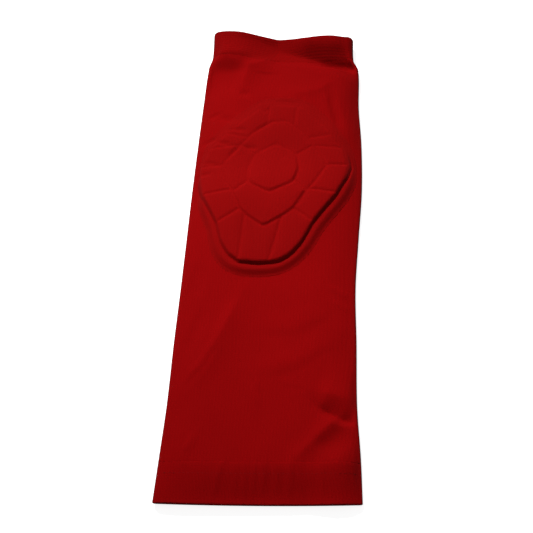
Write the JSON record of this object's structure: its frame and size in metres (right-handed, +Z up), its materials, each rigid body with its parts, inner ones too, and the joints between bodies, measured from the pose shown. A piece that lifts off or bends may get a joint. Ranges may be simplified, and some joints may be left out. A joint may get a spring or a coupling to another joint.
{
  "type": "padded elbow sleeve",
  "caption": "Knitted compression sleeve lying flat, with an elastic band at its narrow end, a doubled hem at its wide end and a segmented foam pad over the elbow.",
  "frame": {"origin": "middle of the underside of the lying sleeve, on the surface it rests on", "axes": "+Z up out of the surface, +Y along the sleeve from the wide upper-arm end to the narrow forearm end, +X across it to the right seen from above"},
  "size_m": [0.1148, 0.3278, 0.0167],
  "materials": {
    "body_knit": "matte fine jersey knit, red",
    "band_knit": "matte doubled elastic knit, red",
    "pad_knit": "matte knit bonded over moulded foam, red"
  },
  "bodies": {
    "root": {"sleeve_body": "body_knit", "forearm_band": "band_knit", "upper_arm_band": "band_knit", "pad_base": "pad_knit", "pad_core": "pad_knit", "pad_collar_top": "pad_knit", "pad_collar_left": "pad_knit", "pad_collar_right": "pad_knit", "pad_collar_bottom": "pad_knit", "pad_tile_01": "pad_knit", "pad_tile_02": "pad_knit", "pad_tile_03": "pad_knit", "pad_tile_04": "pad_knit", "pad_tile_05": "pad_knit", "pad_tile_06": "pad_knit", "pad_tile_07": "pad_knit", "pad_tile_08": "pad_knit", "pad_tile_09": "pad_knit", "pad_tile_10": "pad_knit", "pad_tile_11": "pad_knit", "pad_tile_12": "pad_knit", "pad_tile_13": "pad_knit", "pad_tile_14": "pad_knit"}
  },
  "joints": []
}
